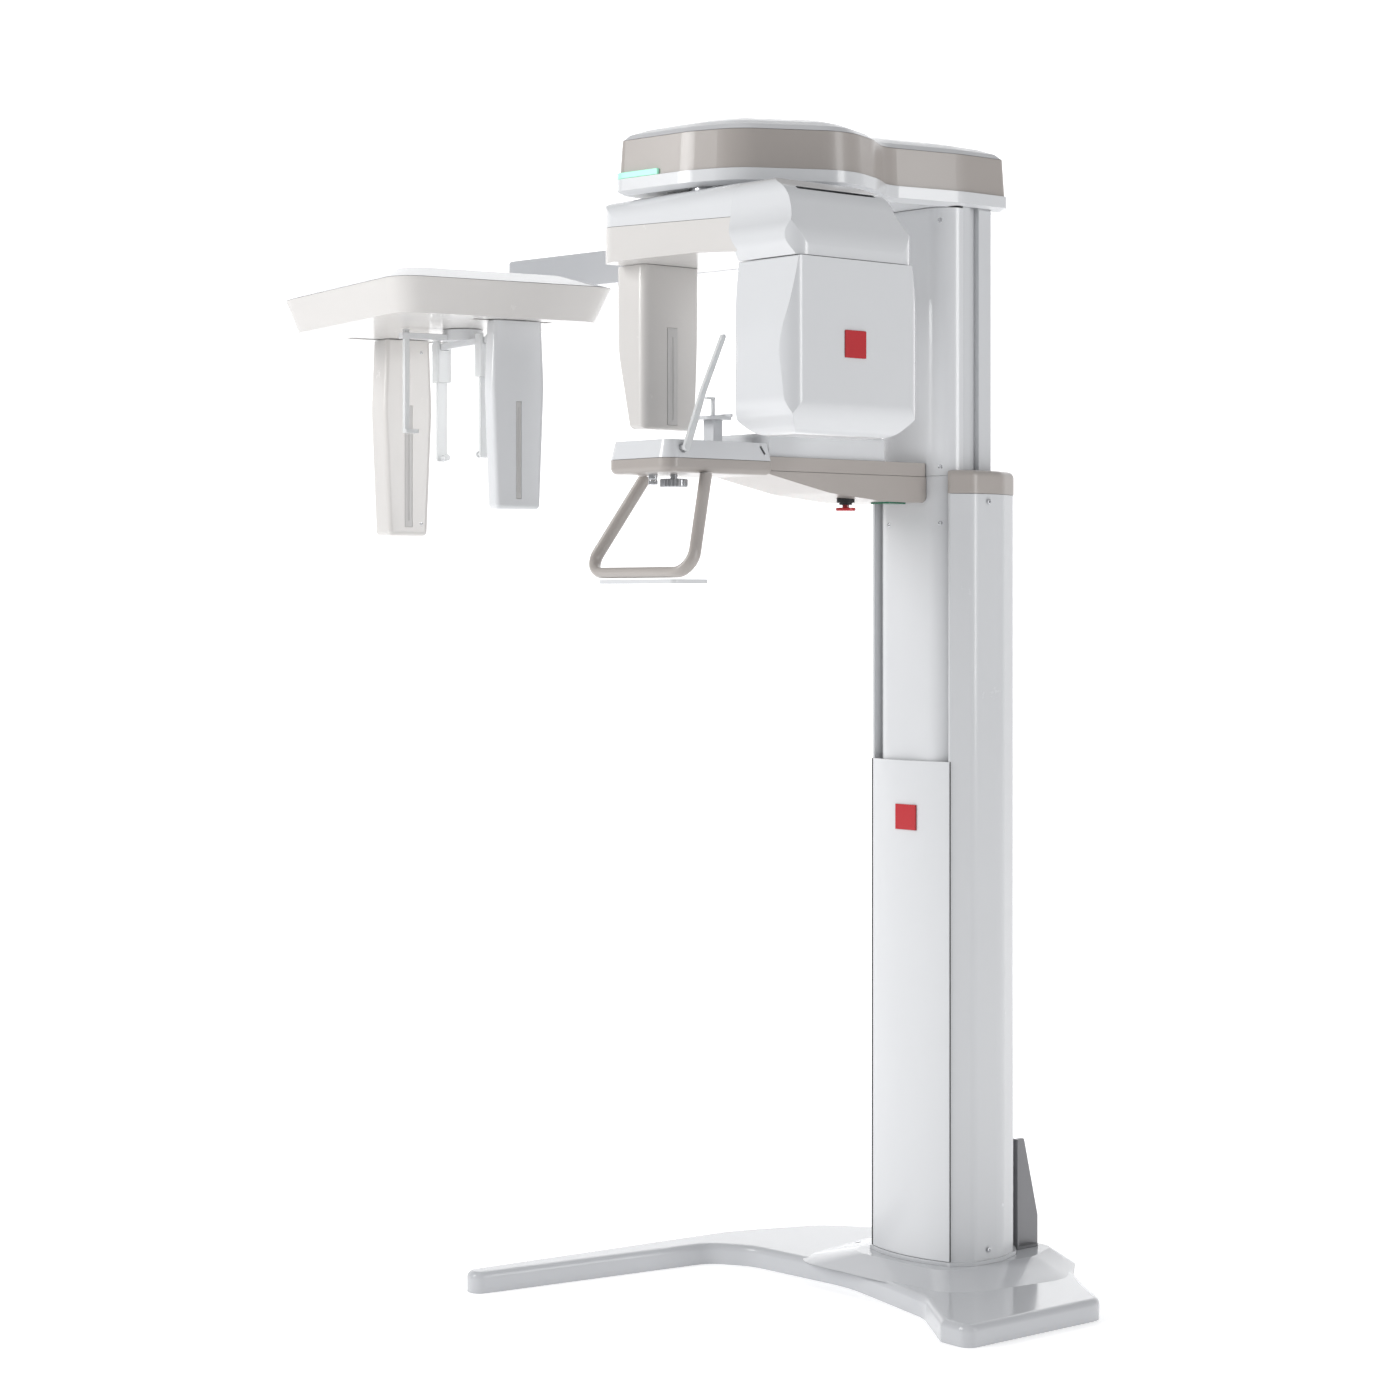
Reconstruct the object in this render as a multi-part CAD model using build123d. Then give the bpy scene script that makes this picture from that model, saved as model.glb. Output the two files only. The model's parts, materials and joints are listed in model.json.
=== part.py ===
from build123d import *
import os
from math import atan2, cos, degrees, hypot, radians, sin

os.makedirs("parts", exist_ok=True)

# Panoramic and cephalometric dental x-ray machine. Millimetres, +Z up. The origin is on the floor under
# the fixed column. The patient stands on the -Y side, the cephalometric unit is on -X, the x-ray tube on +X.

# ---- clearances ----
seam = 0.6            # gap between neighbouring covers
running = 0.05        # radial clearance of a shaft in its bore
slide_gap = 2.0       # between the telescoping columns
swing_gap = 1.2       # under the tube head's top cover

# ---- floor base ----
base_height = 38.0
plinth_height = 58.0
anchor_radius = 6.0
anchor_x = -209.0
anchor_rows = (-39.0, 25.0)

# ---- moving column ----
moving_half = 93.0
cover_front = -115.0
cover_depth = 49.0
cover_corner = 46.0
moving_back = 6.0
moving_low = 560.0
cover_wall = 3.0
groove_near, groove_far, groove_depth = -26.0, -47.0, 9.0

# ---- fixed column ----
channel_half = moving_half + slide_gap
lip_wall = 4.5
lip_half = channel_half + lip_wall
belly_half = lip_half + 30.0
column_front = -107.0
column_back = 85.0
channel_back = 62.0
column_top = 1451.0
cap_height = 43.0
front_cover_top = 967.0
front_cover_bulge = 18.0
foot_height, foot_lip = 7.0, 4.0

# ---- lift drive ----
screw_radius = 8.0
screw_y = 36.0
motor_height = 78.0
rail_x = 62.0
rail_width, rail_depth = 15.0, 14.0
block_levels = (600.0, 1040.0)

# ---- patient arm and table ----
arm_low_x, arm_high_x = -98.0, 48.0
arm_bottom, arm_seam, arm_top = 1435.0, 1482.0, 1507.0
console_top = 1549.0
console_back, console_front = -207.0, -496.0
beam_low_x, beam_high_x = -55.0, 5.0
beam_low_z, beam_slim_z, beam_high_z = 1450.0, 1481.0, 1501.0
table_low_x, table_high_x = -102.0, 62.0
table_front, table_back = -744.0, -505.0
table_bottom, table_seam, table_top = 1473.0, 1498.0, 1529.0
shell = 3.0
chin_x, chin_y = -25.0, -566.0
chin_half_x, chin_half_y = 13.0, 10.0
chin_plate_top = 1576.0
bite_radius = 3.5
rod_pivot_y, rod_pivot_z = -706.0, 1515.0
rod_pin_radius = 5.0
rod_length = 212.0
rod_lean = 21.0
knob_x, knob_y = -25.0, -655.0
knob_radius, knob_low, knob_height = 24.0, 1452.0, 14.0
knob_neck = 6.0
handle_y, handle_half_top, handle_half_low = -655.0, 79.0, 140.0
handle_x = -20.0
handle_drop, handle_reach = 168.0, 84.0
handle_thick, handle_wide = 8.5, 12.0
stop_x, stop_y = 0.0, -272.0
stop_stem = 6.0

# ---- upper housing ----
housing_low, rim_top, band_top, roof_top = 1970.0, 1998.0, 2066.0, 2096.0
rim_chamfer = 7.0
rim_wall = 5.0
frame_thickness = 17.0
motor_radius = 30.0
axis_x, axis_y = -28.5, -580.0
spindle_radius = 25.0
bearing_radius = 33.0

# ---- rotating C-arm ----
c_arm_top, c_arm_crease, c_arm_low = 1965.0, 1922.0, 1855.0
c_arm_left, c_arm_right = -276.0, 108.0
c_arm_front, c_arm_back = -638.0, -406.0
c_arm_flare = 32.0
c_arm_wall = 4.0
beam_y = -518.0
cross_travel = 62.0
rod_radius = 6.0
sensor_face, sensor_outer = -190.0, -272.0
sensor_taper = 46.0
sensor_low = 1562.0
sensor_half_top, sensor_half_low = 67.0, 60.0
tube_inner, tube_outer = 133.0, 283.0
tube_front, tube_back = -673.0, -360.0
tube_low, tube_top = 1533.0, 1826.0
tube_corner = 34.0
tube_neck = 26.0
trunnion_x, trunnion_y, trunnion_radius = 215.0, -514.0, 22.0

# ---- cephalometric unit: its own frame turned to the x-ray beam ----
beam_yaw = 170.0
ceph_x, ceph_y = -884.0, -320.0
collimator_distance, ear_distance, sensor_distance = 37.0, 269.0, 565.0
hood_low, hood_rim, hood_top = 1822.0, 1890.0, 1918.0
hood_flare, hood_crown = 0.91, 0.74      # the underside's and the crown's size against the rim's
neck_half_x, neck_half_y = 9.0, 20.0
scan_low, scan_high = -85.0, 100.0     # the image sensor's travel across the beam
scan_ratio = 0.686                    # the collimator's share of it, from their distances to the focal spot
collimator_low, ceph_sensor_low = 1442.0, 1399.0
ear_level = 1560.0
ear_spread = 100.0
hub_height = 24.0
boom_low, boom_top = 1918.0, 1988.0

parts = {}


# ---- shape helpers ----
def block(x, y, z):
    """A box between three (low, high) pairs."""
    return Pos(x[0], y[0], z[0]) * Box(x[1] - x[0], y[1] - y[0], z[1] - z[0], align=(Align.MIN,) * 3)


def outline(corners):
    """A closed flat outline from (x, y) or (x, y, rounding) corners."""
    radii = [corner[2] if len(corner) > 2 else 0 for corner in corners]
    return make_face(FilletPolyline(*[corner[:2] for corner in corners], radius=radii, close=True))


def prism(low, high, corners, taper=0):
    """An upright prism between two levels."""
    return extrude(Pos(0, 0, low) * outline(corners), high - low, taper=taper)


def side_prism(low, high, corners):
    """A (y, z) outline drawn along X."""
    return extrude(Plane.YZ.offset(low) * outline(corners), high - low)


def front_prism(low, high, corners):
    """An (x, z) outline drawn along Y."""
    return extrude(Plane.XZ.offset(-high) * outline(corners), high - low)


def mirrored(corners):
    """Completes a right-hand half outline with its left-hand mirror image."""
    return list(corners) + [(-corner[0], *corner[1:]) for corner in reversed(corners)]


def disc(x, y, low, high, radius):
    """An upright cylinder between two levels."""
    return Pos(x, y, low) * Cylinder(radius, high - low, align=(Align.CENTER, Align.CENTER, Align.MIN))


def pin_x(low, high, y, z, radius):
    """A cylinder along X."""
    turned = Cylinder(radius, high - low, rotation=(0, 90, 0), align=(Align.CENTER, Align.CENTER, Align.MIN))
    return Pos(low, y, z) * turned


def pin_y(low, high, x, z, radius):
    """A cylinder along Y."""
    turned = Cylinder(radius, high - low, rotation=(-90, 0, 0), align=(Align.CENTER, Align.CENTER, Align.MIN))
    return Pos(x, low, z) * turned


def end_edges(part, top=True):
    """The edges round a part's highest or lowest face."""
    return part.edges().group_by(Axis.Z)[-1 if top else 0]


def group(solids):
    """Several separate solids kept in one node."""
    return Compound(children=list(solids))


def ceph(part):
    """Moves a part from the cephalometric frame (x along the beam) into the machine's frame."""
    return Location((ceph_x, ceph_y, 0), (0, 0, beam_yaw)) * part


# ---- floor base ----
def floor_base():
    legs = [
        (386, -22, 40), (285, 44, 50), (150, 150, 60), (60, 185, 60), (-60, 185, 60), (-311, 106, 120),
        (-400, 35, 90), (-470, -140, 200), (-531, -728, 22), (-486, -736, 20), (-405, -245, 60),
        (-330, -201, 90), (-80, -186, 300), (176, -251, 120), (312, -348, 14), (378, -350, 22),
    ]
    base = prism(0, base_height, legs)
    base = fillet(end_edges(base), 12)
    foot = Pos(0, 0, base_height - 3) * outline(mirrored([(215, -215, 90), (262, 40, 90), (150, 172, 50)]))
    crown = Pos(0, 0, plinth_height) * outline(mirrored([(124, -150, 50), (140, 70, 50), (104, 160, 30)]))
    base += loft([foot, crown], ruled=True)
    for y in anchor_rows:
        base -= disc(anchor_x, y, -1, plinth_height, anchor_radius)
    return base


# ---- fixed column ----
def column_outline(grow=0):
    half = [
        (lip_half + grow, column_front - grow), (belly_half - 4 + grow, -70, 30),
        (belly_half - 3 + grow, 0, 70), (104 + grow, 55 + grow, 40), (70 + grow, column_back + grow, 8),
    ]
    return mirrored(half)


def channel(low, high):
    return block((-channel_half, channel_half), (column_front - 20, channel_back), (low, high))


def fixed_column():
    foot = prism(plinth_height, plinth_height + foot_height, column_outline(foot_lip))
    foot += front_cover_solid(plinth_height, plinth_height + foot_height, -foot_lip)
    foot -= block((-channel_half, channel_half), (column_front + 7, channel_back), (0, column_top))
    foot -= block((-belly_half, belly_half), (column_back, column_back + 20), (0, column_top))
    column = prism(plinth_height, column_top, column_outline()) - channel(0, column_top + 1) + foot
    chamber_in = channel_half + 4
    chamber = [(chamber_in, -84, 4), (belly_half - 9, -60, 10), (belly_half - 9, -8, 20), (chamber_in, 44, 3)]
    for side in (chamber, [(-x, *rest) for x, *rest in reversed(chamber)]):
        column -= prism(0, column_top + 1, side)
    return column - block((-60, 60), (channel_back + 6, column_back - 5), (0, column_top + 1))


def front_cover_solid(low, high, inset):
    """The solid behind the bulged front cover's outer face, moved in by inset."""
    half, y, bulge = lip_half - inset, column_front - 0.5, front_cover_bulge - inset
    arc = ThreePointArc((-half, y), (0, y - bulge), (half, y))
    return extrude(Pos(0, 0, low) * make_face(arc + Line((half, y), (-half, y))), high - low)


def fixed_front_cover():
    low = plinth_height + foot_height + seam
    return front_cover_solid(low, front_cover_top, 0) - front_cover_solid(0, 2000, cover_wall)


def column_cap():
    cap = prism(column_top + seam, column_top + cap_height, column_outline(0.8))
    cap = fillet(end_edges(cap).filter_by(lambda e: e.center().Y > column_front + 2), 12)
    return cap - channel(column_top, 2000)


def column_badge():
    badge = block((-20, 31), (column_front - front_cover_bulge - 2.5, column_front - 8), (841, 887))
    return badge - front_cover_solid(0, 2000, 0)


def gusset(x):
    low = plinth_height
    web = side_prism(x - 3, x + 3, [(89, low), (153, low, 3), (153, low + 55, 5), (116, low + 202, 5), (89, low + 202)])
    flange = block((x - 16, x + 16), (column_back, column_back + 4), (low, low + 204))
    foot = block((x - 16, x + 16), (column_back + 4, 140), (low, low + 5))
    return web + flange + foot


def guide_rail(x):
    rail = block((x - rail_width / 2, x + rail_width / 2), (channel_back - rail_depth, channel_back),
                 (plinth_height + 30, column_top - 10))
    for side in (-1, 1):
        rail -= Pos(x + side * rail_width / 2, channel_back - 8, 0) * Box(4, 4, 4000)
    return rail


def lift_motor():
    low, high = plinth_height, plinth_height + motor_height
    body = block((-27, 27), (moving_back + 5, channel_back - 1), (low, high - 12))
    body = fillet(body.edges().filter_by(Axis.Z), 5)
    plate = block((-32, 32), (moving_back + 4, channel_back - 0.5), (high - 12, high - 4))
    return body + plate + disc(0, screw_y, high - 5, high, 14) - disc(0, screw_y, high - 40, high + 1, 5.05)


def lift_screw():
    high = column_top - 20
    low = plinth_height + motor_height
    screw = disc(0, screw_y, low + 2, high, screw_radius) + disc(0, screw_y, low + 2, low + 32, 13)
    return screw + disc(0, screw_y, low - 35, low + 3, 5)


def power_inlet():
    y = column_back
    plate = block((-36, 36), (y, y + 8), (96, 146))
    plate = fillet(plate.edges().filter_by(Axis.Y), 5)
    socket = block((-28, -2), (y + 1.5, y + 9), (112, 134))
    blades = [block((x - 1, x + 1), (y + 1.5, y + 7), (119, 127)) for x in (-22, -15, -8)]
    return plate - socket - block((7.5, 28.5), (y + 1, y + 9), (108, 138)) + blades


def power_switch():
    y = column_back
    rocker = side_prism(8, 28, [(y + 2.6, 110), (y + 9.5, 109.5, 1), (y + 7.5, 123, 8), (y + 10.5, 136.5, 1), (y + 2.6, 136)])
    return rocker + pin_x(8, 28, y + 4, 123, 1.4)


# ---- moving column ----
def moving_outline(inset):
    half, front = moving_half - inset, cover_front + inset
    back = cover_front + cover_depth
    corner = cover_corner - inset
    return [(half, back), (half, front, corner), (-half, front, corner), (-half, back)]


def moving_column():
    half, front = moving_half - 1.5, cover_front + cover_depth
    column = block((-half, half), (front + seam, moving_back), (moving_low, rim_top - 2))
    column -= block((-half + 14, half - 14), (front + 6, moving_back - 6), (0, 4000))
    for side in (-1, 1):
        column -= Pos(side * half, (groove_near + groove_far) / 2, 0) * Box(2 * groove_depth, groove_near - groove_far, 9000)
        strip_x = (min(side * half, side * moving_half), max(side * half, side * moving_half))
        column += block(strip_x, (groove_near, moving_back), (moving_low, housing_low - seam))
    return column


def arm_passage():
    """The opening in the moving column's covers that the patient arm's beam comes through."""
    return block((beam_low_x - 3, beam_high_x + 3), (cover_front - 5, cover_front + 30), (beam_low_z - 3, beam_high_z + 3))


def moving_cover(low, high):
    return prism(low, high, moving_outline(0)) - prism(low - 1, high + 1, moving_outline(cover_wall)) \
        - block((-80, 80), (cover_front + 20, 0), (low - 1, high + 1)) - arm_passage()


def lift_nut():
    nut = block((-24, 24), (moving_back, screw_y + 20), (660, 700))
    nut = fillet(nut.edges().filter_by(Axis.Z), 4)
    return nut - disc(0, screw_y, 600, 800, screw_radius + running)


def guide_blocks():
    solids = []
    for z in block_levels:
        for x in (-rail_x, rail_x):
            body = block((x - 20, x + 20), (moving_back, channel_back - 4), (z, z + 80))
            gap = 0.4
            solids.append(body - block((x - rail_width / 2 - gap, x + rail_width / 2 + gap),
                                       (channel_back - rail_depth - gap, channel_back), (z - 1, z + 81)))
    return group(solids)


# ---- patient arm ----
def arm_frame():
    """The steel beam inside the arm: deep at the column, slim under the chin table."""
    front = table_front + 30
    rear = cover_front + cover_depth + seam
    beam = side_prism(beam_low_x, beam_high_x, [
        (rear, beam_low_z), (-320, beam_low_z, 30), (-450, beam_slim_z, 60), (front, beam_slim_z),
        (front, beam_high_z), (rear, beam_high_z)])
    beam -= block((beam_low_x + 4, beam_high_x - 4), (front - 1, rear - 6), (beam_slim_z + 4, beam_high_z - 4))
    beam -= disc(knob_x, knob_y, 1000, 2000, knob_neck + 1) + disc(stop_x, stop_y, 1000, 2000, stop_stem + 3)
    return beam - chin_socket(0.5)


def beam_opening(y):
    """The opening that the beam passes through in the wall at y."""
    return block((beam_low_x - 1, beam_high_x + 1), (y - 12, y + 12), (beam_low_z - 1, beam_high_z + 1))


def chin_socket(gap):
    """The space that the chin post slides in."""
    x, y = chin_half_x + gap, chin_half_y + gap
    return block((chin_x - x, chin_x + x), (chin_y - y, chin_y + y), (1400, 1600))


def arm_floor(inset):
    low = arm_bottom + inset
    rear = cover_front - seam - 0.4
    return [
        (rear - inset, arm_seam + (5 if inset else 0)), (rear - inset, low, 12), (-230, low + 1, 200), (-354, low + 12, 200),
        (-430, low + 27, 120), (table_back + 2, 1477 + inset * 0.6), (table_back + 2, arm_seam + (5 if inset else 0)),
    ]


def arm_lower_cover():
    cover = side_prism(arm_low_x, arm_high_x, arm_floor(0))
    cover -= side_prism(arm_low_x + shell, arm_high_x - shell, arm_floor(shell))
    cover -= beam_opening(cover_front)
    cover -= block((-14, 34), (-200, -150), (arm_bottom - 5, arm_bottom + 6))
    return cover - disc(stop_x, stop_y, arm_bottom - 9, arm_bottom + 12, 16.5)


def arm_side_band():
    rear = cover_front - seam - 0.4
    corners = [(arm_low_x, table_back + seam), (arm_high_x, table_back + seam), (arm_high_x, rear, 4), (arm_low_x, rear, 4)]
    band = prism(arm_seam + seam, arm_top, corners)
    inner = block((arm_low_x + shell, arm_high_x - shell), (table_back + shell + seam, rear - shell), (arm_seam, arm_top - shell))
    return band - inner - beam_opening(cover_front) - beam_opening(table_back)


def arm_console():
    low, right, left = arm_top + 0.3, arm_high_x - 6, arm_low_x + 6
    corners = [(left, console_front), (right, console_front), (right, console_back, 14), (left, console_back, 14)]
    body = fillet(end_edges(prism(low, console_top, corners)), 7)
    body -= block((left + shell, right - shell), (console_front + shell, console_back - shell), (low - 1, console_top - shell))
    body -= block((4, 36), (-284, -236), (console_top - 8, console_top + 1))
    return body - block((-70, -20), (-290, -230), (console_top - 1, console_top + 1))


def lift_rocker():
    level = console_top
    rocker = side_prism(5, 35, [(-282.5, level - 3), (-282.5, level + 1.5, 1), (-260, level - 0.5, 10),
                                (-237.5, level + 1.5, 1), (-237.5, level - 3)])
    return rocker + pin_x(5, 35, -260, level - 3, 3)


# ---- chin table ----
def table_outline(inset=0):
    low_x, high_x = table_low_x + inset, table_high_x - inset
    front, back = table_front + inset, table_back - inset
    return [(low_x, back, 8), (low_x, front, 24), (high_x, front, 24), (high_x, back, 8)]


def table_lower_shell():
    lower = prism(table_bottom, table_seam - seam, table_outline())
    lower = fillet(end_edges(lower, top=False), 11)
    lower -= prism(table_bottom + shell, table_seam + 1, table_outline(11))
    lower -= block((beam_low_x - 1, beam_high_x + 1), (table_back - 12, table_back + 1), (beam_slim_z - 1, 1600))
    return lower - disc(knob_x, knob_y, 1400, 1600, knob_neck + running)


def table_upper_shell():
    upper = prism(table_seam, table_top, table_outline(), taper=14)
    upper -= prism(table_seam - 1, table_top - shell, table_outline(shell), taper=14)
    for side, edge in ((1, table_high_x), (-1, table_low_x)):
        inner, outer = edge - side * 26, edge + side * 4
        boss = pin_x(min(inner, edge - side * 7), max(inner, edge - side * 7), rod_pivot_y, rod_pivot_z, 9.5)
        upper += boss
        upper -= pin_x(min(edge - side * 9, outer), max(edge - side * 9, outer), rod_pivot_y, rod_pivot_z, 8.5)
        upper -= pin_x(min(inner - 1, outer), max(inner + 1, outer), rod_pivot_y, rod_pivot_z, rod_pin_radius + running)
    upper -= chin_socket(0.3) + beam_opening(table_back)
    return upper - Location((table_high_x, -524.5, 1516), (28, 0, 0)) * Box(24, 5, 16)


def chin_rest():
    post = chin_socket(0) & block((-200, 200), (-800, 0), (beam_slim_z + 5, chin_plate_top - 6))
    plate = prism(chin_plate_top - 6, chin_plate_top, [
        (chin_x - 28, chin_y - 34, 12), (chin_x + 28, chin_y - 34, 12), (chin_x + 28, chin_y + 22, 8), (chin_x - 28, chin_y + 22, 8)])
    lip = prism(chin_plate_top - 1, chin_plate_top + 5, [
        (chin_x - 28, chin_y + 17, 2), (chin_x + 28, chin_y + 17, 2), (chin_x + 28, chin_y + 22, 2), (chin_x - 28, chin_y + 22, 2)])
    rest = post + plate + lip
    return rest - disc(chin_x, chin_y, chin_plate_top - 24, chin_plate_top + 9, bite_radius + running)


def bite_stick():
    stem = disc(chin_x, chin_y, chin_plate_top - 23, chin_plate_top + 30, bite_radius)
    tip = block((chin_x - 4, chin_x + 4), (chin_y - 16, chin_y + 3), (chin_plate_top + 30, chin_plate_top + 34))
    groove = block((chin_x - 5, chin_x + 5), (chin_y - 12, chin_y - 9), (chin_plate_top + 33, chin_plate_top + 36))
    return stem + fillet(tip.edges().filter_by(Axis.Z), 1.5) - groove


def temple_rod(side, lean):
    """One temple rod on its pin; lean is its angle from upright towards the column."""
    edge = table_high_x if side > 0 else table_low_x
    face = edge + side * 2
    half = rod_length / 2
    bar = [(-6.5, -6.5, 6), (-5, half, 60), (4, rod_length, 4), (12, rod_length - 2, 4), (4.5, half - 4, 60), (6.5, -6.5, 6)]
    blade = side_prism(min(face, face + side * 7), max(face, face + side * 7), bar)
    blade = Pos(0, rod_pivot_y, rod_pivot_z) * Rot(-lean, 0, 0) * blade
    inner = edge - side * 24
    return blade + pin_x(min(inner, face), max(inner, face), rod_pivot_y, rod_pivot_z, rod_pin_radius)


def temple_knob():
    high = knob_low + knob_height
    knob = fillet(disc(knob_x, knob_y, knob_low, high, knob_radius).edges(), 2)
    for i in range(24):
        angle = radians(i * 15)
        knob -= disc(knob_x + knob_radius * cos(angle), knob_y + knob_radius * sin(angle), knob_low - 1, high + 1, 1.7)
    return knob + disc(knob_x, knob_y, high - 1, table_seam - 4, knob_neck)


def handle_loop():
    """The oval tube the patient holds, in a plane leaning back towards the column at its top."""
    lean = Vector(0, handle_reach, handle_drop).normalized()
    height = hypot(handle_reach, handle_drop)
    plane = Plane(origin=(handle_x, handle_y, table_bottom), x_dir=(1, 0, 0), z_dir=Vector(1, 0, 0).cross(lean))
    top, low = handle_half_top, handle_half_low
    path = plane * FilletPolyline((-top, 0), (-low, -height), (low, -height), (top, 0), radius=[30, 30])
    tube = sweep(Plane(origin=path @ 0, z_dir=path % 0) * Ellipse(handle_wide, handle_thick), path)
    return tube - block((-300, 300), (-800, -500), (table_bottom, table_bottom + 60))


def handle_plate():
    level = table_bottom - handle_drop - handle_thick - 3.2
    front = handle_y - handle_reach
    plate = block((-127, 73), (front - 2, front + 80), (level - 7, level))
    return fillet(plate.edges().filter_by(Axis.Z), 10)


def stop_collar():
    level = arm_bottom + 5.2
    collar = disc(stop_x, stop_y, level - 7, level, 16) + disc(stop_x, stop_y, level - 11, level - 6, 11.5)
    collar += disc(stop_x, stop_y, level - 1, level + 6, 13)
    return collar - disc(stop_x, stop_y, 1300, 1500, stop_stem + running)


def stop_button():
    level = arm_bottom + 5.2 - 16
    head = fillet(disc(stop_x, stop_y, level - 6, level, 18).edges(), 2.4)
    return head + disc(stop_x, stop_y, level - 1, level + 40, stop_stem)


def arm_light():
    lens = block((-13.5, 33.5), (-199.5, -150.5), (arm_bottom - 2.5, arm_bottom + 4))
    return fillet(lens.edges().filter_by(Axis.Z), 6)


# ---- upper housing ----
def housing_outline(inset=0):
    """The overhead housing seen from above: narrow over the column, wide over the rotating arm."""
    corners = [
        (104, 52, 25), (103, -70, 200), (72, -238, 60), (118, -306, 120), (160, -410, 110), (62, -590, 110),
        (-30, -626, 120), (-206, -646, 26), (-222, -420, 120), (-160, -300, 120), (-108, -190, 90), (-104, 52, 25),
    ]
    return offset(outline(corners), -inset) if inset else outline(corners)


def level_face(face, level):
    return Pos(0, 0, level) * face


def housing_rim():
    low, foot = housing_low, housing_low + rim_chamfer
    body = extrude(level_face(housing_outline(), foot), rim_top - foot)
    body += loft([level_face(housing_outline(14), low), level_face(housing_outline(), foot)], ruled=True)
    body -= extrude(level_face(housing_outline(rim_wall), foot), 100)
    body -= loft([level_face(housing_outline(18), low + 4), level_face(housing_outline(rim_wall), foot)], ruled=True)
    body -= prism(1900, 2000, moving_outline(-seam))
    body -= block((-moving_half - seam, moving_half + seam), (cover_front + cover_depth - 1, moving_back + seam), (1900, 2000))
    body -= block((-145, 50), (moving_back, 70), (1900, boom_top + seam))
    return body - disc(axis_x, axis_y, 1900, 2100, spindle_radius + 2)


def housing_band():
    body = extrude(level_face(housing_outline(4), rim_top + seam), band_top - rim_top - seam, taper=4)
    return body - extrude(level_face(housing_outline(8), rim_top), band_top - rim_top + 1, taper=4)


def housing_roof():
    """The low dome on top: a steep edge, then a nearly flat crown."""
    level = band_top + seam
    step = (roof_top - level) / 3
    body = extrude(level_face(housing_outline(9), level), step, taper=52)
    body += extrude(level_face(housing_outline(9 + step * 1.28), level + step), step, taper=68)
    body += extrude(level_face(housing_outline(9 + step * 3.76), level + 2 * step), step, taper=76)
    return body - extrude(level_face(housing_outline(26), level - 1), 2 * step, taper=68)


def status_light():
    strip = extrude(level_face(housing_outline(-1), rim_top + seam), 10) - extrude(level_face(housing_outline(3.4), rim_top), 20)
    return strip & block((-215, -95), (-700, -560), (rim_top, rim_top + 20))


def frame_levels():
    low = housing_low + rim_chamfer + 1
    return low, low + frame_thickness


def housing_frame():
    """The cantilever plate between the moving column and the C-arm's bearing."""
    low, high = frame_levels()
    root = cover_front + cover_depth
    beam = prism(low, high, [
        (-75, root + seam), (52, root + seam), (34, -560, 10), (10, -594, 14), (-20, -615, 14), (-70, -617, 26), (-90, -560, 10)])
    rib = block((-40, 10), (-520, root), (high - 1, high + 20)) + block((-60, 60), (root - 12, root), (high - 1, high + 20))
    return beam + rib - disc(axis_x, axis_y, low - 1, high + 1, bearing_radius)


def slew_bearing():
    low, high = frame_levels()
    return disc(axis_x, axis_y, low, high, bearing_radius) - disc(axis_x, axis_y, low - 1, high + 1, spindle_radius + running)


def slew_motor():
    low = frame_levels()[1] + 6
    body = fillet(end_edges(disc(axis_x, axis_y, low, low + 46, motor_radius)), 4)
    feet = block((axis_x - 44, axis_x + 44), (axis_y + 4, axis_y + 36), (low - 6, low + 1))
    feet -= disc(axis_x, axis_y, low - 7, low, spindle_radius + 4)
    return body + feet - disc(axis_x, axis_y, low - 1, low + 30, 12 + running)


def slew_spindle():
    """The neck that carries the C-arm; its cross head runs on two rods inside the arm."""
    head_low, head_high = c_arm_top - 46, c_arm_top - 14
    top = frame_levels()[1] + 2
    neck = disc(axis_x, axis_y, head_high - 1, top, spindle_radius)
    head = block((axis_x - 52, axis_x + 52), (axis_y - 24, axis_y + 24), (head_low, head_high))
    head = fillet(head.edges().filter_by(Axis.Z), 6)
    for x in (axis_x - 38, axis_x + 38):
        head -= pin_y(axis_y - 30, axis_y + 30, x, (head_low + head_high) / 2, rod_radius + running)
    return neck + head + disc(axis_x, axis_y, top - 1, top + 30, 12)


# ---- rotating C-arm ----
def cross_rods():
    level = c_arm_top - 30
    rods = [pin_y(c_arm_front, c_arm_back, x, level, rod_radius) for x in (axis_x - 38, axis_x + 38)]
    return group([rod & c_arm_body(c_arm_wall) for rod in rods])


def c_arm_end(gap):
    """The slanted line where the C-arm's bridge meets the tube head's top cover, from its top down."""
    return [
        (c_arm_right + gap, c_arm_top + 9), (c_arm_right + gap, 1892, 60),
        (c_arm_right + c_arm_flare + gap, c_arm_low - 12)]


def c_arm_body(inset):
    """The C-arm's bridge: rounded plan, soft top edges and an arched underside."""
    left, right = c_arm_left + inset, c_arm_right + c_arm_flare + 5
    front, back = c_arm_front + inset, c_arm_back - inset
    low, top = c_arm_low + inset, c_arm_top - inset
    plan = prism(low - 20, top + 5, [(left, back, 70), (left, front, 70), (right, front), (right, back)])
    side = front_prism(front - 5, back + 5, [
        (left + 34, top, 30), (left, c_arm_crease + 4, 24), (left + 20, low, 14), (sensor_face + 20, low, 60),
        (10, low - 3, 220), *reversed(c_arm_end(-inset))])
    section = side_prism(left - 5, right, [
        (front, low - 20), (front, top, 34), (back, top, 34), (back, low - 20)])
    return plan & side & section


def above_crease(level):
    """Everything above the line that parts the C-arm's two shells, which falls towards the tube head."""
    far = c_arm_right + 60
    return front_prism(c_arm_front - 9, c_arm_back + 9, [
        (c_arm_left - 50, level), (far, level - 20), (far, level + 200), (c_arm_left - 50, level + 200)])


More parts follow.
